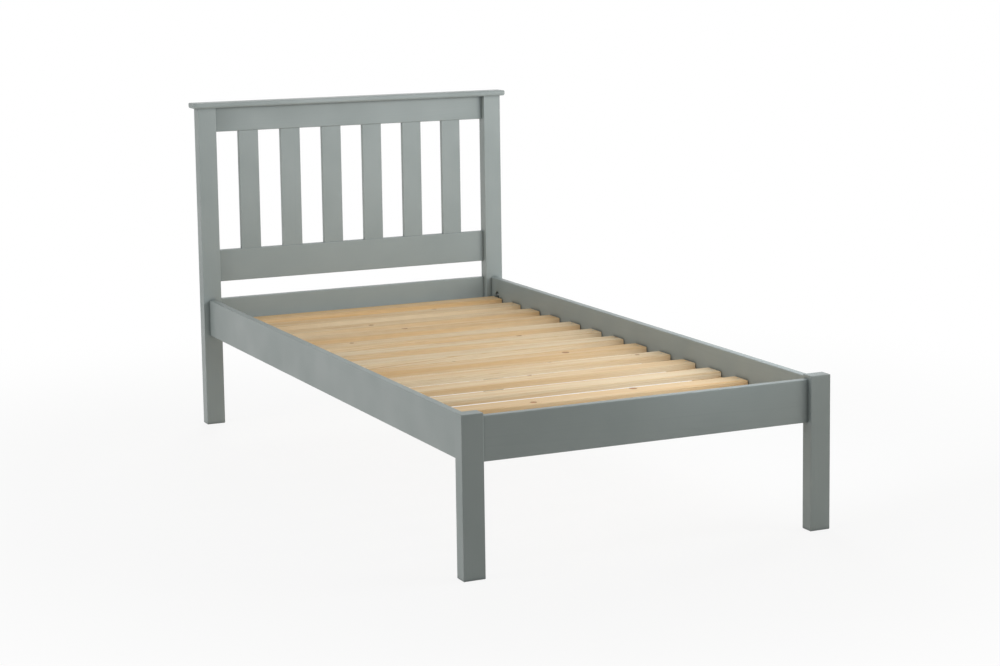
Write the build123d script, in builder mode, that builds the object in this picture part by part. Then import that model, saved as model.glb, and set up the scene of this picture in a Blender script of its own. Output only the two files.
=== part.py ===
from build123d import *
import os

os.makedirs("parts", exist_ok=True)

# A single bed in painted wood: a tall headboard of flat upright boards under a
# rounded cap, a low foot end, two side rails and a slatted base.
# X runs across the bed, Y from the foot to the head, Z up. The origin is on the
# floor, in the middle of the space that the bed takes up. All sizes are in mm.

# Whole bed
bed_length = 1960           # front of the foot posts to back of the head posts
bed_width = 990             # over the outer faces of the posts
head_post_height = 959
foot_post_height = 390

# Posts
post_width = 56             # across the bed
post_depth = 38             # along the bed
post_edge = 2               # rounding of the upright edges
post_top_edge = 2           # rounding round the top of a foot post
post_foot_bevel = 1.5       # bevel round the bottom of every post

# Rails at mattress height
rail_floor_gap = 272        # floor to underside of the side, foot and head end rails
rail_height = 108
rail_edge = 2.5             # rounding of the long edges
cross_rail_thickness = 18
side_rail_thickness = 20
foot_rail_setback = 14      # front of the foot rail behind the front of its posts

# Headboard
panel_setback = 20          # front of the headboard rails behind the front of the posts
top_rail_height = 73
lower_rail_height = 96
lower_rail_top = 528        # height of its upper edge above the floor
board_count = 6
board_width = 62
board_end_gap_extra = 4.5   # the gaps beside the posts are this much wider than the others
board_thickness = 14
board_setback = 1           # front of the boards behind the front of their rails
board_edge = 1.5

# Cap along the top of the headboard
cap_thickness = 16
cap_side_overhang = 15
cap_front_overhang = 9
cap_back_overhang = 9
cap_top_edge = 3
cap_bottom_edge = 6
cap_corner = 7              # rounding of its corners, seen from above

# Mortise and tenon joints
tenon_thickness = 8
tenon_shoulder = 8          # rail left above and below a tenon
board_tenon_length = 15
board_tenon_shoulder = 6    # board left each side of its tenon
joint_wall = 5              # post left between a mortise and the side rail's dowels
fit_gap = 0.1               # clearance on each side of a fitted piece
end_gap = 0.5               # clearance beyond the end of a tenon, dowel or bolt

# Dowels
dowel_diameter = 8
dowel_length = 40
dowel_bevel = 1
dowel_sides = 12            # flats round a dowel, which leave room for glue in its round hole
dowel_spread = 34           # from the bolt up or down to each dowel of a rail end
cap_dowel_in_cap = 10
cap_dowel_in_post = 20
cap_rail_dowel_count = 3

# Bed bolt in each rail end, with its half-moon washer and nut in a bored pocket
bolt_diameter = 6
bolt_hole_diameter = 7      # free hole through the rail end
bolt_bevel = 0.8
bolt_wall = 9               # post left beyond the end of the bolt
bolt_tail = 3               # bolt standing out of the nut
pocket_wall = 28            # rail left between its end and the pocket
pocket_radius = 14
washer_height = 5           # from its curved back to its flat
washer_width = 12
washer_hole_diameter = 6.6
nut_thickness = 5
nut_across_flats = 10
pocket_floor_gap = 0.5      # clearance between the nut's corner and the pocket's floor

# Batten along the inside of each side rail
batten_thickness = 24
batten_height = 28
batten_rise = 6             # underside of the batten above the underside of the rail
batten_end_gap = 5          # from the post to the end of the batten
batten_edge = 1.5

# Slats of the base
slat_count = 14
slat_width = 68
slat_thickness = 15
slat_side_gap = 2           # from the side rail to the end of a slat
slat_end_margin = 14        # from the post to the first and the last slat
slat_edge = 2

# Countersunk wood screws
slat_screw_length = 30
slat_screw_diameter = 3.5
slat_screw_head_diameter = 7
batten_screw_length = 38
batten_screw_diameter = 4
batten_screw_head_diameter = 8
screw_head_sink = 0.2       # top of a head below the wood's surface
screw_sides = 8             # faces round a screw and its hole, which are small and many
screw_point_share = 0.3     # width of a screw's point over that of its shank

# Places that follow from the sizes above
overall_length = bed_length + cap_back_overhang
foot_front_y = -overall_length / 2
foot_back_y = foot_front_y + post_depth
head_back_y = foot_front_y + bed_length
head_front_y = head_back_y - post_depth
foot_post_y = foot_front_y + post_depth / 2
head_post_y = head_back_y - post_depth / 2
post_x = (bed_width - post_width) / 2
between_posts = bed_width - 2 * post_width

foot_rail_y = foot_front_y + foot_rail_setback + cross_rail_thickness / 2
panel_y = head_front_y + panel_setback + cross_rail_thickness / 2
rail_middle_z = rail_floor_gap + rail_height / 2
top_rail_bottom = head_post_height - top_rail_height
lower_rail_bottom = lower_rail_top - lower_rail_height

side_rail_length = head_front_y - foot_back_y
side_rail_middle_y = (head_front_y + foot_back_y) / 2
side_rail_inner_x = post_x - side_rail_thickness / 2

board_y = head_front_y + panel_setback + board_setback + board_thickness / 2
gaps_in_all = between_posts - board_count * board_width
board_gap = (gaps_in_all - 2 * board_end_gap_extra) / (board_count + 1)
board_pitch = board_width + board_gap
board_places = [(number - (board_count - 1) / 2) * board_pitch for number in range(board_count)]

tenon_length = post_width / 2 - dowel_diameter / 2 - joint_wall
mortise_depth = tenon_length + end_gap
mortise_thickness = tenon_thickness + 2 * fit_gap
board_tenon_width = board_width - 2 * board_tenon_shoulder
board_mortise_width = board_tenon_width + 2 * fit_gap
board_mortise_depth = board_tenon_length + end_gap

dowel_hole_radius = dowel_diameter / 2 + fit_gap
dowel_hole_depth = dowel_length / 2 + end_gap
dowel_heights = (rail_middle_z - dowel_spread, rail_middle_z + dowel_spread)
cap_dowel_pitch = between_posts / (cap_rail_dowel_count + 1)
cap_rail_dowel_places = [
    ((number - (cap_rail_dowel_count - 1) / 2) * cap_dowel_pitch, panel_y)
    for number in range(cap_rail_dowel_count)
]
cap_post_dowel_places = [(-post_x, head_post_y), (post_x, head_post_y)]

bolt_in_post = post_depth - bolt_wall
bolt_in_rail = pocket_wall + washer_height + nut_thickness + bolt_tail
bolt_hole_depth = bolt_in_post + end_gap
bolt_post_hole_radius = bolt_diameter / 2 + fit_gap
pocket_centre = pocket_wall + pocket_radius
nut_corner_radius = nut_across_flats / 3 ** 0.5
pocket_depth = side_rail_thickness / 2 + nut_corner_radius + pocket_floor_gap

batten_bottom = rail_floor_gap + batten_rise
batten_top = batten_bottom + batten_height
batten_length = side_rail_length - 2 * batten_end_gap
batten_x = side_rail_inner_x - batten_thickness / 2
batten_inner_x = side_rail_inner_x - batten_thickness

slat_top = batten_top + slat_thickness
slat_length = 2 * (side_rail_inner_x - slat_side_gap)
first_slat_y = foot_back_y + slat_end_margin + slat_width / 2
last_slat_y = head_front_y - slat_end_margin - slat_width / 2
slat_pitch = (last_slat_y - first_slat_y) / (slat_count - 1)
slat_places = [first_slat_y + number * slat_pitch for number in range(slat_count)]

# The batten's screws go in every second gap between slats, clear of the slats' own screws
batten_screw_places = [place + slat_pitch / 2 for place in slat_places[:-1:2]]

sides = {"left": -1, "right": 1}


# Finished pieces

def save(piece, name):
    piece.part.label = name
    export_step(piece.part, f"parts/{name}.step")


# Countersunk screws. The middle of the head is at the origin, on the wood's surface,
# and the point is straight down. The hole is the same shape with a clearance all round.

def make_screw(length, diameter, head_diameter, clearance=0):
    head_radius = head_diameter / 2 + clearance
    shank_radius = diameter / 2 + clearance
    head_top = -screw_head_sink
    neck = head_top - (head_diameter - diameter) / 2
    point = -length - clearance
    shank_end = point + diameter
    with BuildPart() as screw:
        for top, top_radius, bottom, bottom_radius in (
            (head_top, head_radius, neck, shank_radius),
            (neck, shank_radius, shank_end, shank_radius),
            (shank_end, shank_radius, point, shank_radius * screw_point_share),
        ):
            with BuildSketch(Plane.XY.offset(top)):
                RegularPolygon(top_radius, screw_sides)
            with BuildSketch(Plane.XY.offset(bottom)):
                RegularPolygon(bottom_radius, screw_sides)
            loft(ruled=True)
    return screw


def make_screw_hole(length, diameter, head_diameter):
    screw = make_screw(length, diameter, head_diameter, fit_gap)
    with BuildPart() as hole:
        add(screw.part)
        with BuildSketch(Plane.XY.offset(-screw_head_sink)):
            RegularPolygon(head_diameter / 2 + fit_gap, screw_sides)
        extrude(amount=screw_head_sink)
    return hole


slat_screw_hole = make_screw_hole(slat_screw_length, slat_screw_diameter, slat_screw_head_diameter)
batten_screw_hole = make_screw_hole(
    batten_screw_length, batten_screw_diameter, batten_screw_head_diameter
)


def batten_screw_planes(side):
    # Planes on the batten's inner face, looking to the middle of the bed, one for each screw
    height = batten_bottom + batten_height / 2
    return [
        Plane((side * batten_inner_x, place, height), z_dir=(-side, 0, 0))
        for place in batten_screw_places
    ]


# Posts

def cut_rail_mortise(side, rail_y, bottom, height):
    with BuildSketch(Plane.YZ.offset(side * between_posts / 2)) as mouth:
        with Locations((rail_y, bottom + height / 2)):
            Rectangle(mortise_thickness, height - 2 * (tenon_shoulder - fit_gap))
    extrude(mouth.sketch, amount=side * mortise_depth, mode=Mode.SUBTRACT)


def cut_side_rail_holes(side, face_y, inward):
    # inward is 1 where the holes run towards the foot, -1 where they run towards the head
    face = Plane.XZ.offset(-face_y)
    with BuildSketch(face) as bolt_hole:
        with Locations((side * post_x, rail_middle_z)):
            Circle(bolt_post_hole_radius)
    extrude(bolt_hole.sketch, amount=inward * bolt_hole_depth, mode=Mode.SUBTRACT)
    with BuildSketch(face) as dowel_holes:
        with Locations(*[(side * post_x, height) for height in dowel_heights]):
            Circle(dowel_hole_radius)
    extrude(dowel_holes.sketch, amount=inward * dowel_hole_depth, mode=Mode.SUBTRACT)


def make_head_post(side):
    with BuildPart() as post:
        with BuildSketch(Plane.XY):
            with Locations((side * post_x, head_post_y)):
                Rectangle(post_width, post_depth)
        extrude(amount=head_post_height)
        fillet(post.edges().filter_by(Axis.Z), post_edge)
        chamfer(post.faces().sort_by(Axis.Z)[0].edges(), post_foot_bevel)
        cut_rail_mortise(side, panel_y, rail_floor_gap, rail_height)
        cut_rail_mortise(side, panel_y, lower_rail_bottom, lower_rail_height)
        cut_rail_mortise(side, panel_y, top_rail_bottom, top_rail_height)
        cut_side_rail_holes(side, head_front_y, -1)
        with Locations((side * post_x, head_post_y, head_post_height)):
            Hole(dowel_hole_radius, depth=cap_dowel_in_post + end_gap)
    return post


def make_foot_post(side):
    with BuildPart() as post:
        with BuildSketch(Plane.XY):
            with Locations((side * post_x, foot_post_y)):
                Rectangle(post_width, post_depth)
        extrude(amount=foot_post_height)
        fillet(post.edges().filter_by(Axis.Z), post_edge)
        fillet(post.faces().sort_by(Axis.Z)[-1].edges(), post_top_edge)
        chamfer(post.faces().sort_by(Axis.Z)[0].edges(), post_foot_bevel)
        cut_rail_mortise(side, foot_rail_y, rail_floor_gap, rail_height)
        cut_side_rail_holes(side, foot_back_y, 1)
    return post


# Rails across the bed, with a tenon at each end

def make_cross_rail(rail_y, bottom, height):
    with BuildPart() as rail:
        with BuildSketch(Plane.YZ):
            with Locations((rail_y, bottom + height / 2)):
                Rectangle(cross_rail_thickness, height)
        extrude(amount=between_posts / 2, both=True)
        fillet(rail.edges().filter_by(Axis.X), rail_edge)
        with BuildSketch(Plane.YZ):
            with Locations((rail_y, bottom + height / 2)):
                Rectangle(tenon_thickness, height - 2 * tenon_shoulder)
        extrude(amount=between_posts / 2 + tenon_length, both=True)
    return rail


def cut_board_mortises(face_z, into):
    # into is 1 where the mortises run up from the face, -1 where they run down
    with BuildSketch(Plane.XY.offset(face_z)) as mouths:
        with Locations(*[(place, panel_y) for place in board_places]):
            Rectangle(board_mortise_width, mortise_thickness)
    extrude(mouths.sketch, amount=into * board_mortise_depth, mode=Mode.SUBTRACT)


def make_lower_rail():
    blank = make_cross_rail(panel_y, lower_rail_bottom, lower_rail_height)
    with BuildPart() as rail:
        add(blank.part)
        cut_board_mortises(lower_rail_top, -1)
    return rail


def make_top_rail():
    blank = make_cross_rail(panel_y, top_rail_bottom, top_rail_height)
    with BuildPart() as rail:
        add(blank.part)
        cut_board_mortises(top_rail_bottom, 1)
        with Locations(*[(*place, head_post_height) for place in cap_rail_dowel_places]):
            Hole(dowel_hole_radius, depth=cap_dowel_in_post + end_gap)
    return rail


# One upright board of the headboard, with a tenon at its top and bottom

def make_board(place):
    visible_height = top_rail_bottom - lower_rail_top
    with BuildPart() as board:
        with BuildSketch(Plane.XY.offset(lower_rail_top)):
            with Locations((place, board_y)):
                Rectangle(board_width, board_thickness)
        extrude(amount=visible_height)
        fillet(board.edges().filter_by(Axis.Z), board_edge)
        with BuildSketch(Plane.XY.offset(lower_rail_top - board_tenon_length)):
            with Locations((place, panel_y)):
                Rectangle(board_tenon_width, tenon_thickness)
        extrude(amount=visible_height + 2 * board_tenon_length)
    return board


# Cap, rounded more along its lower edges than along its upper ones

def make_cap():
    cap_depth = post_depth + cap_front_overhang + cap_back_overhang
    cap_y = head_post_y + (cap_back_overhang - cap_front_overhang) / 2
    with BuildPart() as cap:
        with BuildSketch(Plane.XY.offset(head_post_height)):
            with Locations((0, cap_y)):
                RectangleRounded(bed_width + 2 * cap_side_overhang, cap_depth, cap_corner)
        extrude(amount=cap_thickness)
        top_edges = cap.faces().sort_by(Axis.Z)[-1].edges()
        bottom_edges = cap.faces().sort_by(Axis.Z)[0].edges()
        fillet(top_edges, cap_top_edge)
        fillet(bottom_edges, cap_bottom_edge)
        with Locations(*[
            Plane((*place, head_post_height), x_dir=(1, 0, 0), z_dir=(0, 0, -1))
            for place in cap_post_dowel_places + cap_rail_dowel_places
        ]):
            Hole(dowel_hole_radius, depth=cap_dowel_in_cap + end_gap)
    return cap


# Side rail: its ends butt against the posts, and each has a bed bolt and two dowels

def make_side_rail(side):
    rail_x = side * post_x
    inner_x = side * side_rail_inner_x
    with BuildPart() as rail:
        with BuildSketch(Plane.XZ.offset(-side_rail_middle_y)):
            with Locations((rail_x, rail_middle_z)):
                Rectangle(side_rail_thickness, rail_height)
        extrude(amount=side_rail_length / 2, both=True)
        fillet(rail.edges().filter_by(Axis.Y), rail_edge)
        for face_y, towards_head in ((foot_back_y, 1), (head_front_y, -1)):
            end_face = Plane.XZ.offset(-face_y)
            with BuildSketch(end_face):
                with Locations((rail_x, rail_middle_z)):
                    Circle(bolt_hole_diameter / 2)
            extrude(amount=-towards_head * pocket_centre, mode=Mode.SUBTRACT)
            with BuildSketch(end_face):
                with Locations(*[(rail_x, height) for height in dowel_heights]):
                    Circle(dowel_hole_radius)
            extrude(amount=-towards_head * dowel_hole_depth, mode=Mode.SUBTRACT)
            with BuildSketch(Plane.YZ.offset(inner_x)):
                with Locations((face_y + towards_head * pocket_centre, rail_middle_z)):
                    Circle(pocket_radius)
            extrude(amount=side * pocket_depth, mode=Mode.SUBTRACT)
        with Locations(*batten_screw_planes(side)):
            add(batten_screw_hole.part, mode=Mode.SUBTRACT)
    return rail


# Battens and the slats on them

def make_batten(side):
    with BuildPart() as batten:
        with BuildSketch(Plane.XZ.offset(-side_rail_middle_y)):
            with Locations((side * batten_x, batten_bottom + batten_height / 2)):
                Rectangle(batten_thickness, batten_height)
        extrude(amount=batten_length / 2, both=True)
        inner_edges = batten.edges().filter_by(Axis.Y).group_by(Axis.X)[0 if side > 0 else -1]
        chamfer(inner_edges, batten_edge)
        with Locations(*batten_screw_planes(side)):
            add(batten_screw_hole.part, mode=Mode.SUBTRACT)
        with Locations(*[(side * batten_x, place, slat_top) for place in slat_places]):
            add(slat_screw_hole.part, mode=Mode.SUBTRACT)
    return batten


def make_slat(place):
    with BuildPart() as slat:
        with BuildSketch(Plane.YZ):
            with Locations((place, batten_top + slat_thickness / 2)):
                Rectangle(slat_width, slat_thickness)
        extrude(amount=slat_length / 2, both=True)
        chamfer(slat.edges().filter_by(Axis.X).group_by(Axis.Z)[-1], slat_edge)
        with Locations(*[(side * batten_x, place, slat_top) for side in sides.values()]):
            add(slat_screw_hole.part, mode=Mode.SUBTRACT)
    return slat


# Fasteners. Each kind is drawn once and set at every place that takes one.

def make_batten_screws():
    screw = make_screw(batten_screw_length, batten_screw_diameter, batten_screw_head_diameter)
    with BuildPart() as screws:
        for side in sides.values():
            with Locations(*batten_screw_planes(side)):
                add(screw.part)
    return screws


def make_slat_screws():
    screw = make_screw(slat_screw_length, slat_screw_diameter, slat_screw_head_diameter)
    with BuildPart() as screws:
        for side in sides.values():
            with Locations(*[(side * batten_x, place, slat_top) for place in slat_places]):
                add(screw.part)
    return screws


def make_dowel(length):
    with BuildPart() as dowel:
        with BuildSketch(Plane.XY):
            RegularPolygon(dowel_diameter / 2, dowel_sides)
        extrude(amount=length)
        chamfer(dowel.edges().filter_by(Axis.Z, reverse=True), dowel_bevel)
    return dowel


def make_rail_dowels():
    dowel = make_dowel(dowel_length)
    with BuildPart() as dowels:
        for side in sides.values():
            for face_y in (foot_back_y, head_front_y):
                for height in dowel_heights:
                    start = (side * post_x, face_y - dowel_length / 2, height)
                    with Locations(Plane(start, z_dir=(0, 1, 0))):
                        add(dowel.part)
    return dowels


def make_cap_dowels():
    dowel = make_dowel(cap_dowel_in_post + cap_dowel_in_cap)
    base = head_post_height - cap_dowel_in_post
    with BuildPart() as dowels:
        with Locations(*[(*place, base) for place in cap_post_dowel_places + cap_rail_dowel_places]):
            add(dowel.part)
    return dowels


# Bed bolts. Each plane has its origin on the joint between a post and a rail end,
# on the line of the bolt, and looks into the rail.
bolt_planes = [
    Plane((side * post_x, face_y, rail_middle_z), x_dir=(1, 0, 0), z_dir=(0, into_rail, 0))
    for side in sides.values()
    for face_y, into_rail in ((foot_back_y, 1), (head_front_y, -1))
]


def make_bolts():
    with BuildPart() as bolt:
        with BuildSketch(Plane.XY.offset(-bolt_in_post)):
            Circle(bolt_diameter / 2)
        extrude(amount=bolt_in_post + bolt_in_rail)
        chamfer(bolt.edges().filter_by(GeomType.CIRCLE), bolt_bevel)
    with BuildPart() as bolts:
        with Locations(*bolt_planes):
            add(bolt.part)
    return bolts


def make_washers():
    # A slice of a round bar: its curved back fits the wall of the pocket
    back_radius = pocket_radius - fit_gap
    flat_height = pocket_wall + washer_height
    with BuildPart() as washer:
        with BuildSketch(Plane.YZ):
            with Locations((0, pocket_centre)):
                Circle(back_radius)
            with Locations((0, flat_height)):
                Rectangle(
                    2 * pocket_radius,
                    2 * pocket_radius,
                    align=(Align.CENTER, Align.MIN),
                    mode=Mode.SUBTRACT,
                )
        extrude(amount=washer_width / 2, both=True)
        with Locations((0, 0, flat_height)):
            Hole(washer_hole_diameter / 2, depth=washer_height)
    with BuildPart() as washers:
        with Locations(*bolt_planes):
            add(washer.part)
    return washers


def make_nuts():
    with BuildPart() as nut:
        with BuildSketch(Plane.XY.offset(pocket_wall + washer_height)):
            RegularPolygon(nut_corner_radius, 6)
            Circle(bolt_post_hole_radius, mode=Mode.SUBTRACT)
        extrude(amount=nut_thickness)
    with BuildPart() as nuts:
        with Locations(*bolt_planes):
            add(nut.part)
    return nuts


# Build and write every piece

for side_name, side in sides.items():
    save(make_head_post(side), f"head_post_{side_name}")
    save(make_foot_post(side), f"foot_post_{side_name}")
    save(make_side_rail(side), f"side_rail_{side_name}")
    save(make_batten(side), f"side_batten_{side_name}")

save(make_cap(), "headboard_cap")
save(make_top_rail(), "headboard_top_rail")
save(make_lower_rail(), "headboard_lower_rail")
save(make_cross_rail(panel_y, rail_floor_gap, rail_height), "head_end_rail")
save(make_cross_rail(foot_rail_y, rail_floor_gap, rail_height), "foot_rail")

for number, place in enumerate(board_places, start=1):
    save(make_board(place), f"headboard_board_{number}")

for number, place in enumerate(slat_places, start=1):
    save(make_slat(place), f"bed_slat_{number:02d}")

save(make_bolts(), "bed_bolts")
save(make_washers(), "half_moon_washers")
save(make_nuts(), "bolt_nuts")
save(make_rail_dowels(), "rail_dowels")
save(make_cap_dowels(), "cap_dowels")
save(make_batten_screws(), "batten_screws")
save(make_slat_screws(), "slat_screws")
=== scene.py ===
import math
import bpy
from mathutils import Matrix, Vector


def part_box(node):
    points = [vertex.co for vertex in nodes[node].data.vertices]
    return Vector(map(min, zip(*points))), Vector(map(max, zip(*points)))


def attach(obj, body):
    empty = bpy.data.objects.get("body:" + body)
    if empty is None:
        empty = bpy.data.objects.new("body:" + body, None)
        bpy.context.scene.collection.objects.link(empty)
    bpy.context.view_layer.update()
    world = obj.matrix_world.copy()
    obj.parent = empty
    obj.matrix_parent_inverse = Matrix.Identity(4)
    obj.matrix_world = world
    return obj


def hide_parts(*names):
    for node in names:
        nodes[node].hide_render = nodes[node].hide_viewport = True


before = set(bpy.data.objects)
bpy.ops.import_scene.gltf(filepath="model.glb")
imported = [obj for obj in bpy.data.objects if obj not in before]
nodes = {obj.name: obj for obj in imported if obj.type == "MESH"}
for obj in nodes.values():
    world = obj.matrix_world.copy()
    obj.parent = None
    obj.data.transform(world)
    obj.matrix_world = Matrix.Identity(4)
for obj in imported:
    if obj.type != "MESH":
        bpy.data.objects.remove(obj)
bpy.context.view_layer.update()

scene = bpy.context.scene
mm = 0.001
print("frame loaded,", len(nodes), "pieces")

# the wooden pieces, in groups that are cut to one section
posts = ["foot_post_left", "foot_post_right", "head_post_left", "head_post_right"]
boards = [f"headboard_board_{number}" for number in range(1, 7)]
slats = [f"bed_slat_{number:02d}" for number in range(1, 15)]
sideRails = ["side_rail_left", "side_rail_right"]
battens = ["side_batten_left", "side_batten_right"]
endRails = ["foot_rail", "head_end_rail"]


def toLinear(hexColour):
    # a colour as it looks on screen, to the linear values that the shaders take
    channels = [int(hexColour[at:at + 2], 16) / 255 for at in (1, 3, 5)]
    return tuple(c / 12.92 if c <= 0.04045 else ((c + 0.055) / 1.055) ** 2.4 for c in channels) + (1.0,)


def addNode(tree, kind, settings=None, links=None):
    # a setting goes to the socket of that name or number, or else to the node itself
    node = tree.nodes.new(kind)
    for name, value in (settings or {}).items():
        if isinstance(name, int) or name in node.inputs:
            node.inputs[name].default_value = value
        else:
            setattr(node, name, value)
    for name, source in (links or {}).items():
        tree.links.new(source, node.inputs[name])
    return node


def newMaterial(name):
    material = bpy.data.materials.new(name)
    material.use_nodes = True
    material.node_tree.nodes.clear()
    return material, material.node_tree


def finishWith(pieceNames, material):
    for name in pieceNames:
        for materialSlot in nodes[name].material_slots:
            materialSlot.material = material


def pieceMiddle(name):
    low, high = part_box(name)
    return (low + high) / 2


def patternAtSize(tree, kind, place, size, settings=None):
    # a texture with features of a real size, or of one size for each direction
    sizes = size if isinstance(size, (tuple, list)) else (size,) * 3
    sized = addNode(tree, "ShaderNodeMapping", {"Scale": [1 / each for each in sizes]}, {0: place})
    return addNode(tree, kind, dict(settings or {}, Scale=1.0), {"Vector": sized.outputs[0]}).outputs


def layOver(tree, colour, layer, pattern):
    # lays a layer over a colour: none of it where the pattern is at "from", its whole share at "full".
    # The colour is a hex value, or comes from an earlier node.
    amount = addNode(tree, "ShaderNodeMapRange", {
        "interpolation_type": layer.get("fade", "LINEAR"), "From Min": layer["from"],
        "From Max": layer["full"], "To Min": 0.0, "To Max": layer["share"]}, {0: pattern}).outputs[0]
    mixed = addNode(tree, "ShaderNodeMix", {"data_type": "RGBA", 7: toLinear(layer["colour"])}, {0: amount})
    if isinstance(colour, str):
        mixed.inputs[6].default_value = toLinear(colour)
    else:
        tree.links.new(colour, mixed.inputs[6])
    return mixed.outputs[2]


def closeMaterial(tree, look, colour, height, gloss):
    # relief from the height, roughness from the gloss pattern, then the shader itself
    bump = addNode(tree, "ShaderNodeBump", {"Strength": look["bump"], "Distance": look["relief"]},
                   {"Height": height})
    roughness = addNode(tree, "ShaderNodeMapRange", look["roughness"], {0: gloss})
    surface = addNode(tree, "ShaderNodeBsdfPrincipled", look["shader"], {
        "Base Color": colour, "Roughness": roughness.outputs[0], "Normal": bump.outputs[0]})
    addNode(tree, "ShaderNodeOutputMaterial", None, {"Surface": surface.outputs[0]})


# timber, in real sizes. Growth rings lie round a pith line that runs along each piece.
# A pattern with three sizes has them along the grain, across it and through the thickness.
timber = {
    "ringSpacing": 2.8 * mm,
    # how dark the wood is at each share of a year's growth
    "ringShades": ((0.0, 0.0), (0.5, 0.12), (0.8, 0.7), (0.92, 1.0), (1.0, 0.0)),
    "faintest": 0.3,               # darkness of the faintest year, as a share of the strongest
    "ringUneven": 5.0,             # years by which good and poor stretches shift the rings
    "stretch": 22 * mm,            # growth in one good or poor stretch
    "ringFeather": 0.9 * mm,       # how far the fibres blur a ring's edge
    "pithDepth": 34 * mm,          # pith below the middle of the piece
    "pithDepthSpread": 40 * mm,
    "pithWander": 60 * mm,         # pith to one side or the other
    "pithTilt": 0.035,             # how far it drifts over the length, as a share of it
    "waves": (420 * mm, 110 * mm, 110 * mm),  # bends of the rings
    "waveHeight": 9 * mm,
    "streaks": (700 * mm, 22 * mm, 22 * mm),  # broad bands of paler and darker wood
    "fibres": (90 * mm, 1.6 * mm, 1.6 * mm),  # real fibres are finer than the picture can show
    "knotSpacing": 210 * mm,
    "knotShrink": (1.6, 0.8),      # each knot's radius is divided by something between these
    "knotRadius": 5.5 * mm,
    "knotReach": 22 * mm,          # how far from its middle a knot bends the rings
    "knotPush": 12 * mm,           # how far the rings bend at the knot itself
    "knotTaper": 0.3,              # how fast a knot narrows through the thickness
    "stepWeight": {"X": 3.7, "Y": 4.7, "Z": 5.7},  # unlike, so that each piece has a number of its own
    "otherWood": 5.0,              # metres of timber that the pieces are taken from
    "edgeTurn": 0.72,              # how squarely a face looks along an axis in the middle of an edge
}


def findPiece(tree, cut):
    # cut says how a group of like pieces lies. They stand at even steps, and the number
    # of the step gives each piece its own pith, drift and tone.
    place = addNode(tree, "ShaderNodeTexCoord").outputs["Object"]
    axes = addNode(tree, "ShaderNodeSeparateXYZ", None, {0: place}).outputs
    local, number = {}, None
    for index, axis in enumerate("XYZ"):
        start = pieceMiddle(cut["first"])[index]
        local[axis] = addNode(tree, "ShaderNodeMath", {"operation": "SUBTRACT", 1: start},
                              {0: axes[axis]}).outputs[0]
        if axis in cut["next"]:
            step = pieceMiddle(cut["next"][axis])[index] - start
            steps = addNode(tree, "ShaderNodeMath", {"operation": "DIVIDE", 1: step}, {0: local[axis]})
            whole = addNode(tree, "ShaderNodeMath", {"operation": "ROUND"}, {0: steps.outputs[0]})
            local[axis] = addNode(tree, "ShaderNodeMath", {"operation": "MULTIPLY_ADD", 1: -step},
                                  {0: whole.outputs[0], 2: local[axis]}).outputs[0]
            weight = timber["stepWeight"][axis]
            weighted = addNode(tree, "ShaderNodeMath", {"operation": "MULTIPLY", 1: weight},
                               {0: whole.outputs[0]}).outputs[0]
            number = weighted if number is None else addNode(
                tree, "ShaderNodeMath", {"operation": "ADD"}, {0: number, 1: weighted}).outputs[0]
    lot = addNode(tree, "ShaderNodeTexWhiteNoise", {"noise_dimensions": "1D", "W": cut["lot"]})
    if number is not None:
        shifted = addNode(tree, "ShaderNodeMath", {"operation": "ADD", 1: cut["lot"]}, {0: number})
        tree.links.new(shifted.outputs[0], lot.inputs["W"])
    along, wide, thin = local[cut["along"]], local[cut["wide"]], local[cut["thin"]]
    inPiece = addNode(tree, "ShaderNodeCombineXYZ", None, {0: along, 1: wide, 2: thin}).outputs[0]
    inTimber = addNode(tree, "ShaderNodeVectorMath",
                       {"operation": "MULTIPLY_ADD", 1: (timber["otherWood"],) * 3},
                       {0: lot.outputs["Color"], 2: inPiece}).outputs[0]
    return {"place": place, "along": along, "wide": wide, "thin": thin, "inTimber": inTimber,
            "chance": lot.outputs["Color"], "tone": lot.outputs["Value"]}


def knotDistance(tree, piece):
    # knots lie square to the face and narrow as they go in. Some are half the size of others.
    knot = patternAtSize(tree, "ShaderNodeTexVoronoi", piece["inTimber"], timber["knotSpacing"],
                         {"voronoi_dimensions": "2D"})
    smallest, largest = timber["knotShrink"]
    knotSize = addNode(tree, "ShaderNodeMapRange", {
        "To Min": smallest * timber["knotSpacing"], "To Max": largest * timber["knotSpacing"]},
        {0: knot["Color"]}).outputs[0]
    narrowed = addNode(tree, "ShaderNodeMath", {"operation": "MULTIPLY", 1: -timber["knotTaper"]},
                       {0: piece["thin"]}).outputs[0]
    return addNode(tree, "ShaderNodeMath", {"operation": "MULTIPLY_ADD"},
                   {0: knot["Distance"], 1: knotSize, 2: narrowed}).outputs[0]


def pithDistance(tree, piece):
    # how far each point is from a pith line that has its own depth, side and drift in each piece
    chance = addNode(tree, "ShaderNodeSeparateColor", None, {0: piece["chance"]}).outputs
    spans = ((-timber["pithWander"], timber["pithWander"]),
             (timber["pithDepth"], timber["pithDepth"] + timber["pithDepthSpread"]),
             (-timber["pithTilt"], timber["pithTilt"]))
    sideways, deep, tilt = (
        addNode(tree, "ShaderNodeMapRange", {"To Min": low, "To Max": high}, {0: number}).outputs[0]
        for (low, high), number in zip(spans, chance))
    drift = addNode(tree, "ShaderNodeMath", {"operation": "MULTIPLY_ADD"},
                    {0: piece["along"], 1: tilt, 2: sideways}).outputs[0]
    acrossWide, acrossThin = (
        addNode(tree, "ShaderNodeMath", {"operation": "ADD"}, {0: piece[axis], 1: away}).outputs[0]
        for axis, away in (("wide", drift), ("thin", deep)))
    spoke = addNode(tree, "ShaderNodeCombineXYZ", None, {0: acrossWide, 1: acrossThin}).outputs[0]
    return addNode(tree, "ShaderNodeVectorMath", {"operation": "LENGTH"}, {0: spoke}).outputs["Value"]


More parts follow.
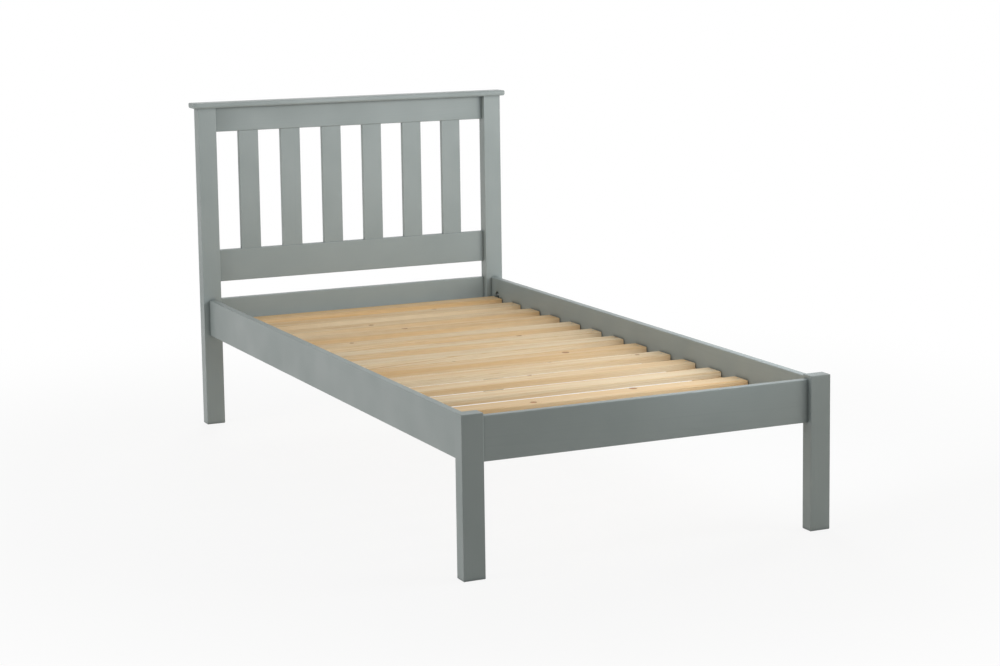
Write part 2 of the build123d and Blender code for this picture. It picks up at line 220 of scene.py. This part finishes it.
def growthRings(tree, piece, fibre, knotAway):
    # the distance from the pith, bent by waves and knots, then counted off in uneven years
    wave = patternAtSize(tree, "ShaderNodeTexNoise", piece["inTimber"], timber["waves"],
                         {"Detail": 2.0, "Roughness": 0.4})[0]
    bent = addNode(tree, "ShaderNodeMath", {"operation": "MULTIPLY_ADD", 1: timber["waveHeight"]},
                   {0: wave, 2: pithDistance(tree, piece)}).outputs[0]
    push = addNode(tree, "ShaderNodeMapRange", {
        "interpolation_type": "SMOOTHSTEP", "From Min": 0.0, "From Max": timber["knotReach"],
        "To Min": timber["knotPush"], "To Max": 0.0}, {0: knotAway}).outputs[0]
    pushed = addNode(tree, "ShaderNodeMath", {"operation": "ADD"}, {0: bent, 1: push}).outputs[0]
    feathered = addNode(tree, "ShaderNodeMath", {"operation": "MULTIPLY_ADD", 1: timber["ringFeather"]},
                        {0: fibre, 2: pushed}).outputs[0]
    growth = addNode(tree, "ShaderNodeTexNoise", {"noise_dimensions": "1D", "Scale": 1 / timber["stretch"]},
                     {"W": pushed}).outputs[0]
    evenYears = addNode(tree, "ShaderNodeMath", {"operation": "DIVIDE", 1: timber["ringSpacing"]},
                        {0: feathered}).outputs[0]
    years = addNode(tree, "ShaderNodeMath", {"operation": "MULTIPLY_ADD", 1: timber["ringUneven"]},
                    {0: growth, 2: evenYears}).outputs[0]

    # each year darkens slowly and stops short, and some years are fainter than others
    year = addNode(tree, "ShaderNodeMath", {"operation": "FRACT"}, {0: years}).outputs[0]
    ramp = addNode(tree, "ShaderNodeValToRGB", None, {0: year})
    stops = timber["ringShades"]
    while len(ramp.color_ramp.elements) < len(stops):
        ramp.color_ramp.elements.new(0.5)
    for element, (position, dark) in zip(ramp.color_ramp.elements, stops):
        element.position = position
        element.color = (dark, dark, dark, 1.0)
    whichYear = addNode(tree, "ShaderNodeMath", {"operation": "FLOOR"}, {0: years}).outputs[0]
    season = addNode(tree, "ShaderNodeTexWhiteNoise", {"noise_dimensions": "1D"}, {"W": whichYear})
    strength = addNode(tree, "ShaderNodeMapRange", {"To Min": timber["faintest"], "To Max": 1.0},
                       {0: season.outputs["Value"]}).outputs[0]
    return addNode(tree, "ShaderNodeMath", {"operation": "MULTIPLY"},
                   {0: ramp.outputs["Color"], 1: strength}).outputs[0]


def timberPattern(tree, cut):
    wood = findPiece(tree, cut)
    wood["fibre"] = patternAtSize(tree, "ShaderNodeTexNoise", wood["inTimber"], timber["fibres"],
                                  {"Detail": 3.0, "Roughness": 0.6})[0]
    wood["knotAway"] = knotDistance(tree, wood)
    wood["rings"] = growthRings(tree, wood, wood["fibre"], wood["knotAway"])
    wood["grain"] = addNode(tree, "ShaderNodeMath", {"operation": "ADD"},
                            {0: wood["rings"], 1: wood["fibre"]}).outputs[0]
    return wood


def rubEdges(tree, colour, handled, fibre):
    # a rounded or bevelled edge is where the surface looks squarely along no axis
    facing = addNode(tree, "ShaderNodeTexCoord").outputs["Normal"]
    size = addNode(tree, "ShaderNodeVectorMath", {"operation": "ABSOLUTE"}, {0: facing}).outputs[0]
    parts = addNode(tree, "ShaderNodeSeparateXYZ", None, {0: size}).outputs
    larger = addNode(tree, "ShaderNodeMath", {"operation": "MAXIMUM"}, {0: parts["X"], 1: parts["Y"]})
    largest = addNode(tree, "ShaderNodeMath", {"operation": "MAXIMUM"},
                      {0: larger.outputs[0], 1: parts["Z"]}).outputs[0]
    edge = addNode(tree, "ShaderNodeMapRange", {
        "From Min": 1.0, "From Max": timber["edgeTurn"], "To Min": 0.0, "To Max": 1.0}, {0: largest})
    worn = addNode(tree, "ShaderNodeMath", {"operation": "MULTIPLY"}, {0: edge.outputs[0], 1: fibre})
    return addNode(tree, "ShaderNodeMix", {"data_type": "RGBA", 7: toLinear(handled)},
                   {0: worn.outputs[0], 6: colour}).outputs[2]


def paintShadeInCorners(tree, colour, corner):
    # paints shade, with a little dust, where pieces meet.
    # Its pattern is how open a place is: 1 on a free face, less where pieces meet within reach
    openness = addNode(tree, "ShaderNodeAmbientOcclusion", {
        "samples": 8, "Distance": corner["reach"]}).outputs["AO"]
    return layOver(tree, colour, corner, openness)


# Sprayed satin paint on pine: an even, soft sheen, with the grain just telling through it,
# thinner and paler on the edges, and painted shade with a little dust in the corners.
satinPaint = {
    "colour": "#929A98",
    "pooled": {"colour": "#8A9391", "from": 0.35, "full": 0.75, "share": 0.8},
    "patch": 160 * mm,             # slow drifts from thin to pooled
    "telling": 0.35,               # how far a growth ring turns the paint to its pooled colour
    "overEdge": "#A3AAA8",         # thin, over the edges
    # painted shade in the joints and under the cap, with a little dust
    "corner": {"colour": "#4E5655", "reach": 12 * mm, "from": 0.95, "full": 0.5, "share": 0.6},
    "peel": 3.5 * mm,              # orange peel, drawn coarser than the real 1 mm, so that it shows
    "peelShare": 0.5,              # of the height that rings and fibres have
    "bump": 0.6,
    "relief": 0.12 * mm,           # height of grain and peel together
    "roughness": {"From Min": 0.3, "From Max": 0.7, "To Min": 0.36, "To Max": 0.48},
    "shader": {"IOR": 1.5},
}


def makePaintedPine(name, cut):
    material, tree = newMaterial(name)
    wood = timberPattern(tree, cut)
    patch = patternAtSize(tree, "ShaderNodeTexNoise", wood["inTimber"], satinPaint["patch"],
                          {"Detail": 2.0})[0]
    peel = patternAtSize(tree, "ShaderNodeTexNoise", wood["place"], satinPaint["peel"],
                         {"Detail": 1.0})[0]
    body = layOver(tree, satinPaint["colour"], satinPaint["pooled"], patch)
    telling = addNode(tree, "ShaderNodeMath", {"operation": "MULTIPLY", 1: satinPaint["telling"]},
                      {0: wood["rings"]}).outputs[0]
    grained = addNode(tree, "ShaderNodeMix", {
        "data_type": "RGBA", 7: toLinear(satinPaint["pooled"]["colour"])}, {0: telling, 6: body}).outputs[2]
    edged = rubEdges(tree, grained, satinPaint["overEdge"], wood["fibre"])
    colour = paintShadeInCorners(tree, edged, satinPaint["corner"])
    height = addNode(tree, "ShaderNodeMath", {"operation": "MULTIPLY_ADD", 1: satinPaint["peelShare"]},
                     {0: peel, 2: wood["grain"]}).outputs[0]
    closeMaterial(tree, satinPaint, colour, height, patch)
    return material


# Planed pine without a finish: pale earlywood, darker latewood lines, small brown knots,
# matt, with the planed edges a touch darker from handling and some shade in the corners.
planedPine = {
    "earlywood": "#E9D8B8",
    "latewood": "#C59A66",
    "ringDark": 0.8,               # how far a ring turns the wood to latewood
    "fibreDark": (0.35, -0.12),    # how far a fibre does, and what is taken off so that pale ones don't
    "warm": "#D9B27C",             # the warmer pieces of the lot, and the darker bands in a piece
    "pieceWarm": 0.7,              # how warm the warmest piece is
    "bands": {"From Min": 0.35, "From Max": 0.7, "To Min": -0.25, "To Max": 0.45},  # streaks, to warmth
    "knotRim": {"colour": "#855C38", "from": 1.5 * timber["knotRadius"], "full": timber["knotRadius"],
                "share": 0.75, "fade": "SMOOTHSTEP"},
    "knotHeart": {"colour": "#A67448", "from": 0.95 * timber["knotRadius"],
                  "full": 0.6 * timber["knotRadius"], "share": 0.9, "fade": "SMOOTHSTEP"},
    "handled": "#C7A87C",
    # painted shade where pieces meet, with a little dust
    "corner": {"colour": "#8C6C48", "reach": 8 * mm, "from": 0.6, "full": 0.0, "share": 0.5},
    "bump": 0.7,
    "relief": 0.2 * mm,
    "roughness": {"To Min": 0.7, "To Max": 0.55},  # earlywood, then the harder latewood
    "shader": {"IOR": 1.48},
}


def makePlanedPine(name, cut):
    material, tree = newMaterial(name)
    wood = timberPattern(tree, cut)
    streak = patternAtSize(tree, "ShaderNodeTexNoise", wood["inTimber"], timber["streaks"],
                           {"Detail": 2.0})[0]
    banded = addNode(tree, "ShaderNodeMapRange", planedPine["bands"], {0: streak}).outputs[0]
    warmth = addNode(tree, "ShaderNodeMath", {
        "operation": "MULTIPLY_ADD", 1: planedPine["pieceWarm"], "use_clamp": True},
        {0: wood["tone"], 2: banded}).outputs[0]
    toned = addNode(tree, "ShaderNodeMix", {
        "data_type": "RGBA", 6: toLinear(planedPine["earlywood"]), 7: toLinear(planedPine["warm"])},
        {0: warmth}).outputs[2]
    fibreShare, paleFibre = planedPine["fibreDark"]
    lined = addNode(tree, "ShaderNodeMath", {"operation": "MULTIPLY_ADD", 1: fibreShare, 2: paleFibre},
                    {0: wood["fibre"]}).outputs[0]
    dark = addNode(tree, "ShaderNodeMath", {
        "operation": "MULTIPLY_ADD", 1: planedPine["ringDark"], "use_clamp": True},
        {0: wood["rings"], 2: lined}).outputs[0]
    ringed = addNode(tree, "ShaderNodeMix", {"data_type": "RGBA", 7: toLinear(planedPine["latewood"])},
                     {0: dark, 6: toned}).outputs[2]
    rimmed = layOver(tree, ringed, planedPine["knotRim"], wood["knotAway"])
    knotted = layOver(tree, rimmed, planedPine["knotHeart"], wood["knotAway"])
    edged = rubEdges(tree, knotted, planedPine["handled"], wood["fibre"])
    colour = paintShadeInCorners(tree, edged, planedPine["corner"])
    closeMaterial(tree, planedPine, colour, wood["grain"], wood["rings"])
    return material


# Bright zinc-plated steel: a cool, slightly cloudy metal with fine barrel marks.
zincPlate = {
    "colour": "#C3C7CB",
    "cloud": "#A9ABA6",
    "cloudSize": 2.5 * mm,
    "markSize": 0.6 * mm,
    "bump": 0.5,
    "relief": 0.02 * mm,
    "roughness": {"From Min": 0.3, "From Max": 0.7, "To Min": 0.28, "To Max": 0.46},
    "shader": {"Metallic": 1.0},
}


def makeZincSteel(name):
    material, tree = newMaterial(name)
    place = addNode(tree, "ShaderNodeTexCoord").outputs["Object"]
    cloud = patternAtSize(tree, "ShaderNodeTexNoise", place, zincPlate["cloudSize"], {"Detail": 3.0})[0]
    mark = patternAtSize(tree, "ShaderNodeTexNoise", place, zincPlate["markSize"], {"Detail": 2.0})[0]
    clouded = addNode(tree, "ShaderNodeMix", {
        "data_type": "RGBA", 6: toLinear(zincPlate["colour"]), 7: toLinear(zincPlate["cloud"])},
        {0: cloud}).outputs[2]
    closeMaterial(tree, zincPlate, clouded, mark, cloud)
    return material


# Turned beech: even, pinkish brown, with short dark flecks along the grain.
turnedBeech = {
    "colour": "#D2AE83",
    "fleck": {"colour": "#A97C52", "from": 0.5, "full": 0.7, "share": 0.8},
    "fleckWidth": 0.7 * mm,
    "fleckLength": 5 * mm,
    "bump": 0.5,
    "relief": 0.05 * mm,
    "roughness": {"To Min": 0.5, "To Max": 0.62},
    "shader": {"IOR": 1.48},
}


def makeTurnedBeech(name, along):
    material, tree = newMaterial(name)
    place = addNode(tree, "ShaderNodeTexCoord").outputs["Object"]
    sizes = [turnedBeech["fleckLength" if axis == along else "fleckWidth"] for axis in "XYZ"]
    fleck = patternAtSize(tree, "ShaderNodeTexNoise", place, sizes, {"Detail": 2.0})[0]
    colour = layOver(tree, turnedBeech["colour"], turnedBeech["fleck"], fleck)
    closeMaterial(tree, turnedBeech, colour, fleck, fleck)
    return material


# how each group lies, and which pieces are one step on from its first
finishWith(posts, makePaintedPine("satinPaintOnPinePosts", {
    "along": "Z", "wide": "X", "thin": "Y", "lot": 1.5, "first": "foot_post_left",
    "next": {"X": "foot_post_right", "Y": "head_post_left"}}))
finishWith(boards, makePaintedPine("satinPaintOnPineBoards", {
    "along": "Z", "wide": "X", "thin": "Y", "lot": 2.5, "first": boards[0], "next": {"X": boards[1]}}))
finishWith(sideRails, makePaintedPine("satinPaintOnPineSideRails", {
    "along": "Y", "wide": "Z", "thin": "X", "lot": 3.5, "first": sideRails[0],
    "next": {"X": sideRails[1]}}))
finishWith(endRails, makePaintedPine("satinPaintOnPineEndRails", {
    "along": "X", "wide": "Z", "thin": "Y", "lot": 4.5, "first": endRails[0],
    "next": {"Y": endRails[1]}}))
for number, name in enumerate(("headboard_lower_rail", "headboard_top_rail")):
    finishWith([name], makePaintedPine("satinPaintOnPine" + name.title().replace("_", ""), {
        "along": "X", "wide": "Z", "thin": "Y", "lot": 5.5 + number, "first": name, "next": {}}))
finishWith(["headboard_cap"], makePaintedPine("satinPaintOnPineCap", {
    "along": "X", "wide": "Y", "thin": "Z", "lot": 7.5, "first": "headboard_cap", "next": {}}))
finishWith(slats, makePlanedPine("planedPineSlats", {
    "along": "X", "wide": "Y", "thin": "Z", "lot": 8.8, "first": slats[0], "next": {"Y": slats[1]}}))
finishWith(battens, makePlanedPine("planedPineBattens", {
    "along": "Y", "wide": "Z", "thin": "X", "lot": 9.5, "first": battens[0], "next": {"X": battens[1]}}))
zincSteel = makeZincSteel("zincPlatedSteel")
finishWith(["half_moon_washers", "bed_bolts", "bolt_nuts", "slat_screws", "batten_screws"], zincSteel)
finishWith(["rail_dowels"], makeTurnedBeech("turnedBeechRailDowels", "Y"))
finishWith(["cap_dowels"], makeTurnedBeech("turnedBeechCapDowels", "Z"))
print("finishes made:", len(bpy.data.materials))


# how the fasteners are turned and placed
turning = {
    "ridge": (0.25, 0.5),          # where a thread's crest and its root start, as shares of the pitch
    "smoothUpTo": 32,              # degrees between faces that shade as one curve
    "crossTurn": 47,               # degrees from each screw's cross to the next one's
}


def startPiece():
    if bpy.context.mode != "OBJECT":
        bpy.ops.object.mode_set(mode="OBJECT")
    bpy.ops.object.select_all(action="DESELECT")


def stepAlong(start, end, radius, newRadius):
    # draws the selected end face on from one height to the next, and widens or narrows it
    bpy.ops.mesh.extrude_region_move(TRANSFORM_OT_translate={"value": (0, 0, end - start)})
    share = newRadius / radius
    bpy.ops.transform.resize(value=(share, share, 1), center_override=(0, 0, end))


def turnProfile(name, sides, profile):
    # profile is a list of heights and radii, from the top down, on the line of Z
    startPiece()
    (height, radius), *steps = profile
    bpy.ops.mesh.primitive_circle_add(vertices=sides, radius=radius, fill_type="NGON",
                                      location=(0, 0, height))
    piece = bpy.context.object
    piece.name = name
    bpy.ops.object.transform_apply()
    bpy.ops.object.mode_set(mode="EDIT")
    bpy.ops.mesh.select_all(action="SELECT")
    for nextHeight, nextRadius in steps:
        stepAlong(height, nextHeight, radius, nextRadius)
        height, radius = nextHeight, nextRadius
    bpy.ops.mesh.select_all(action="SELECT")
    bpy.ops.mesh.normals_make_consistent(inside=False)
    bpy.ops.object.mode_set(mode="OBJECT")
    return piece


def cutWith(piece, cutter, operation="DIFFERENCE"):
    startPiece()
    bpy.context.view_layer.objects.active = piece
    cut = piece.modifiers.new("cut", "BOOLEAN")
    cut.operation = operation
    cut.solver = "EXACT"
    cut.object = cutter
    bpy.ops.object.modifier_apply(modifier=cut.name)
    bpy.data.objects.remove(cutter)


def threadProfile(top, bottom, pitch, crest, core, pointLength=0):
    # one ridge a turn, from the top down, with a flat between the ridges. They shrink over the point.
    profile = []
    crestStart, rootStart = turning["ridge"]
    for turn in range(int((top - bottom) / pitch)):
        at = top - turn * pitch
        slim = min(1, (at - bottom) / pointLength) if pointLength else 1
        profile += [(at - crestStart * pitch, slim * crest), (at - rootStart * pitch, slim * core),
                    (at - pitch, slim * core)]
    return profile


def placeCopies(model, name, spots, replaced):
    # a copy of the model with its own mesh at each spot, then all of them as one piece
    startPiece()
    for spot in spots:
        copy = model.copy()
        copy.data = model.data.copy()
        copy.data.transform(spot)
        scene.collection.objects.link(copy)
        copy.select_set(True)
        bpy.context.view_layer.objects.active = copy
    bpy.data.objects.remove(model)
    bpy.ops.object.join()
    piece = bpy.context.object
    piece.name = name
    piece.data.materials.clear()
    piece.data.materials.append(zincSteel)
    bpy.ops.object.shade_smooth_by_angle(angle=math.radians(turning["smoothUpTo"]))
    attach(piece, "root")
    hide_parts(replaced)


# countersunk wood screws with a cross recess, a hair smaller than the holes that they stand in
slatScrew = {
    "length": 30 * mm,
    "shank": 3.4 * mm,
    "core": 2.4 * mm,
    "head": 6.4 * mm,
    "rim": 0.3 * mm,               # upright edge of the head, above its cone
    "sink": 0.2 * mm,              # top of the head below the wood
    "plain": 11 * mm,              # from the wood's face to the first turn of the thread
    "point": 8 * mm,
    "tipShare": 0.1,               # the blunt tip, as a share of the core
    "pitch": 1.6 * mm,
    "recess": (3.8 * mm, 1.6 * mm),  # across the cross, at its mouth and its foot
    "blade": 0.8 * mm,
    "recessDepth": 1.9 * mm,
    "sides": 20,
}
battenScrew = dict(slatScrew, length=38 * mm, shank=3.9 * mm, core=2.7 * mm, head=7.3 * mm, plain=14 * mm,
                   pitch=1.8 * mm, recess=(4.4 * mm, 1.8 * mm), recessDepth=2.2 * mm)


def makeBlade(screw, top, turned):
    # one bar of the cross, narrower at its foot, standing half above the screw's head
    mouth, foot = screw["recess"]
    startPiece()
    bpy.ops.mesh.primitive_cube_add(size=1, location=(0, 0, top))
    blade = bpy.context.object
    blade.scale = (mouth, screw["blade"], 2 * screw["recessDepth"])
    bpy.ops.object.transform_apply()
    bpy.ops.object.mode_set(mode="EDIT")
    bpy.ops.mesh.select_all(action="DESELECT")
    bpy.ops.object.mode_set(mode="OBJECT")
    for face in blade.data.polygons:
        face.select = face.normal.z < -0.9  # the foot, which looks down
    bpy.ops.object.mode_set(mode="EDIT")
    bpy.ops.transform.resize(value=(foot / mouth, 1, 1), center_override=(0, 0, top))
    bpy.ops.object.mode_set(mode="OBJECT")
    blade.rotation_euler.z = turned
    bpy.ops.object.transform_apply()
    return blade


def makeWoodScrew(screw):
    # it stands on its point, with the wood's face at height 0
    top, tip = -screw["sink"], -screw["length"]
    headRadius, crest, core = screw["head"] / 2, screw["shank"] / 2, screw["core"] / 2
    neck = top - screw["rim"] - (headRadius - crest)
    profile = [(top, headRadius), (top - screw["rim"], headRadius), (neck, crest), (-screw["plain"], crest)]
    profile += threadProfile(-screw["plain"], tip, screw["pitch"], crest, core, screw["point"])
    piece = turnProfile("woodScrew", screw["sides"], profile + [(tip, screw["tipShare"] * core)])
    for turned in (0, math.pi / 2):
        cutWith(piece, makeBlade(screw, top, turned))
    return piece


def screwSpots(heads, outward):
    # outward turns the head from straight up to its own side. No two screws stop at one angle.
    turn = math.radians(turning["crossTurn"])
    return [Matrix.Translation(head) @ outward @ Matrix.Rotation(turn * number, 4, "Z")
            for number, head in enumerate(heads)]


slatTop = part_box(slats[0])[1].z
slatMiddles = [pieceMiddle(name).y for name in slats]
slatHeads = [(pieceMiddle(name).x, y, slatTop) for name in battens for y in slatMiddles]
slatSpots = screwSpots(slatHeads, Matrix.Identity(4))
placeCopies(makeWoodScrew(slatScrew), "slatScrewSet", slatSpots, "slat_screws")

battenSpots = []
gapMiddles = [(near + far) / 2 for near, far in zip(slatMiddles[::2], slatMiddles[1::2])]
for name in battens:
    low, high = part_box(name)
    innerX = low.x if low.x > 0 else high.x
    inward = Matrix.Rotation(math.copysign(math.pi / 2, -innerX), 4, "Y")
    battenSpots += screwSpots([(innerX, y, (low.z + high.z) / 2) for y in gapMiddles], inward)
placeCopies(makeWoodScrew(battenScrew), "battenScrewSet", battenSpots, "batten_screws")
print("wood screws placed:", len(slatSpots), "in the slats,", len(battenSpots), "in the battens")


# bed bolts, threaded at both ends, and their nuts
bedBolt = {
    "length": 70 * mm,
    "diameter": 6 * mm,
    "core": 5.1 * mm,
    "pitch": 1 * mm,
    "thread": 24 * mm,             # threaded length at each end
    "bevel": 0.6 * mm,
    "sides": 24,
}
boltNut = {
    "acrossFlats": 10 * mm,
    "thickness": 5 * mm,
    "hole": 6.1 * mm,
    "topRound": 9.4 * mm,          # across the round face that the bevel leaves
    "crown": 0.65 * mm,            # height of the bevel at each corner
    "clear": 1.02,                 # the barrel that cuts the bevel, as a share of the corners' radius
    "sides": 50,
}


def makeBedBolt():
    # from 0 in the post up to its end in the rail
    crest, core, pitch = bedBolt["diameter"] / 2, bedBolt["core"] / 2, bedBolt["pitch"]
    length, bevel, thread = bedBolt["length"], bedBolt["bevel"], bedBolt["thread"]
    profile = [(length, core), (length - bevel, crest)]
    profile += threadProfile(length - bevel, length - thread, pitch, crest, core)
    profile += [(length - thread, crest), (thread, crest)]
    profile += threadProfile(thread, bevel, pitch, crest, core)
    return turnProfile("bedBolt", bedBolt["sides"], profile + [(0, core)])


def makeBoltNut():
    thickness, crown, topRadius = boltNut["thickness"], boltNut["crown"], boltNut["topRound"] / 2
    corner = boltNut["acrossFlats"] / 2 / math.cos(math.pi / 6)
    outside = boltNut["clear"] * corner
    startPiece()
    bpy.ops.mesh.primitive_cylinder_add(vertices=6, radius=corner, depth=thickness,
                                        location=(0, 0, thickness / 2), rotation=(0, 0, math.pi / 6))
    nut = bpy.context.object
    bpy.ops.object.transform_apply()
    barrel = turnProfile("barrel", boltNut["sides"], [
        (thickness, topRadius), (thickness - crown, outside), (crown, outside), (0, topRadius)])
    cutWith(nut, barrel, "INTERSECT")
    hole = turnProfile("hole", boltNut["sides"], [
        (thickness + crown, boltNut["hole"] / 2), (-crown, boltNut["hole"] / 2)])
    cutWith(nut, hole)
    return nut


def jointSpots(node):
    # where the set at each post starts: from the foot end's low side, and from the head end's high side
    low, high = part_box(node)
    height = pieceMiddle(sideRails[0]).z
    spots = []
    for post in posts:
        atFoot = post.startswith("foot")
        turn = Matrix.Rotation(-math.pi / 2 if atFoot else math.pi / 2, 4, "X")
        spots.append(Matrix.Translation((pieceMiddle(post).x, low.y if atFoot else high.y, height)) @ turn)
    return spots


placeCopies(makeBedBolt(), "bedBoltSet", jointSpots("bed_bolts"), "bed_bolts")
placeCopies(makeBoltNut(), "boltNutSet", jointSpots("bolt_nuts"), "bolt_nuts")
print("bed bolts and nuts placed")


def seenRays(tree):
    # 1 for what the camera sees, in the picture itself or by reflection
    rays = addNode(tree, "ShaderNodeLightPath").outputs
    mirrored = addNode(tree, "ShaderNodeMath", {"operation": "MAXIMUM"},
                       {0: rays["Is Glossy Ray"], 1: rays["Is Transmission Ray"]}).outputs[0]
    return addNode(tree, "ShaderNodeMath", {"operation": "MAXIMUM"},
                   {0: rays["Is Camera Ray"], 1: mirrored}).outputs[0]


# floor, white in the picture, with a soft share of the real shadow near the bed
floorPlan = {
    "size": 30.0,                  # metres
    "drop": 0.5 * mm,
    "colour": "#E6E6E4",
    "shadow": 0.12,                # share of the real shading that shows near the bed
    "fade": (1.1, 2.6),            # where that share starts and ends, from the middle of the bed
}


def makeFloor():
    startPiece()
    bpy.ops.mesh.primitive_plane_add(size=floorPlan["size"], location=(0, 0, -floorPlan["drop"]))
    floor = bpy.context.object
    floor.name = "floor"
    bpy.ops.object.transform_apply()
    material, tree = newMaterial("paleStudioFloor")
    matt = addNode(tree, "ShaderNodeBsdfDiffuse", {"Color": toLinear(floorPlan["colour"])})
    white = addNode(tree, "ShaderNodeEmission", {"Color": (1, 1, 1, 1), "Strength": 1.0})
    away = addNode(tree, "ShaderNodeVectorMath", {"operation": "LENGTH"},
                   {0: addNode(tree, "ShaderNodeTexCoord").outputs["Object"]}).outputs["Value"]
    start, end = floorPlan["fade"]
    shown = addNode(tree, "ShaderNodeMapRange", {
        "interpolation_type": "SMOOTHSTEP", "From Min": start, "From Max": end,
        "To Min": 1 - floorPlan["shadow"], "To Max": 1.0}, {0: away}).outputs[0]
    whiteShare = addNode(tree, "ShaderNodeMath", {"operation": "MULTIPLY"}, {0: seenRays(tree), 1: shown})
    mixed = addNode(tree, "ShaderNodeMixShader", None,
                    {0: whiteShare.outputs[0], 1: matt.outputs[0], 2: white.outputs[0]})
    addNode(tree, "ShaderNodeOutputMaterial", None, {"Surface": mixed.outputs[0]})
    floor.data.materials.append(material)


# soft studio light: large boxes all round, and a low one over the foot end that is turned to the
# headboard. The light on the headboard is a little cool, and the light from the front a little warm.
# The back box shows in no reflection, because it would whiten the tops of the cap and the rails.
studio = {
    "ambient": 0.2,
    "boxes": {
        "overheadBox": {"place": (0.0, 0.0, 2.8), "aim": (0.0, 0.1, 0.3), "size": 2.4, "power": 10},
        "leftBox": {"place": (-4.4, -0.3, 1.4), "aim": (0.0, 0.0, 0.4), "size": 2.4, "power": 74},
        "rightBox": {"place": (3.6, 0.4, 1.6), "aim": (0.0, 0.2, 0.4), "size": 2.2, "power": 32},
        "frontBox": {"place": (3.5, -2.9, 1.3), "aim": (0.0, -0.7, 0.3), "size": 2.0, "power": 56,
                     "tint": "#FFFDF6"},
        "headBox": {"place": (0.7, -1.0, 1.15), "aim": (0.0, 0.95, 1.3), "size": 1.2, "power": 16,
                    "tint": "#F1F7FF"},
        "backBox": {"place": (1.4, 4.6, 2.4), "aim": (0.0, 0.95, 0.5), "size": 2.2, "power": 110,
                    "mirrored": False},
    },
}


def lightStudio():
    world = bpy.data.worlds.new("whiteStudio")
    scene.world = world
    world.use_nodes = True
    tree = world.node_tree
    tree.nodes.clear()
    ambient = addNode(tree, "ShaderNodeBackground", {"Color": (1, 1, 1, 1), "Strength": studio["ambient"]})
    white = addNode(tree, "ShaderNodeBackground", {"Color": (1, 1, 1, 1), "Strength": 1.0})
    mixed = addNode(tree, "ShaderNodeMixShader", None,
                    {0: seenRays(tree), 1: ambient.outputs[0], 2: white.outputs[0]})
    addNode(tree, "ShaderNodeOutputWorld", None, {"Surface": mixed.outputs[0]})
    for name, box in studio["boxes"].items():
        lamp = bpy.data.lights.new(name, "AREA")
        lamp.shape = "SQUARE"
        lamp.size = box["size"]
        lamp.energy = box["power"]
        lamp.color = toLinear(box.get("tint", "#FFFFFF"))[:3]
        held = bpy.data.objects.new(name, lamp)
        scene.collection.objects.link(held)
        held.visible_camera = False
        held.visible_glossy = box.get("mirrored", True)
        held.location = box["place"]
        towards = Vector(box["aim"]) - Vector(box["place"])
        held.rotation_euler = towards.to_track_quat("-Z", "Y").to_euler()


# camera, at the photo's viewing angle. Its place along the bed counts from the front of the foot posts.
photoView = {
    "place": (-2.5225, -4.6503, 1.4748),
    "turn": -26.34,                # degrees, to the right
    "tilt": 7.87,                  # degrees, down
    "roll": -0.56,                 # degrees
    "lens": 82.2,                  # the lens and the sensor's width are in millimetres
    "sensor": 36.0,
    "shift": (-0.0682, -0.087),
}


def placeCamera():
    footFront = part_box(posts[0])[0].y
    x, y, z = photoView["place"]
    data = bpy.data.cameras.new("photoCamera")
    data.sensor_width = photoView["sensor"]
    data.sensor_fit = "HORIZONTAL"
    data.lens = photoView["lens"]
    data.shift_x, data.shift_y = photoView["shift"]
    camera = bpy.data.objects.new("photoCamera", data)
    scene.collection.objects.link(camera)
    turn, tilt, roll = (math.radians(photoView[name]) for name in ("turn", "tilt", "roll"))
    camera.matrix_world = (Matrix.Translation((x, footFront + y, z)) @ Matrix.Rotation(turn, 4, "Z")
                           @ Matrix.Rotation(math.pi / 2 - tilt, 4, "X") @ Matrix.Rotation(roll, 4, "Z"))
    scene.camera = camera


makeFloor()
lightStudio()
placeCamera()
scene.view_settings.view_transform = "Standard"
print("floor, light and camera in place")
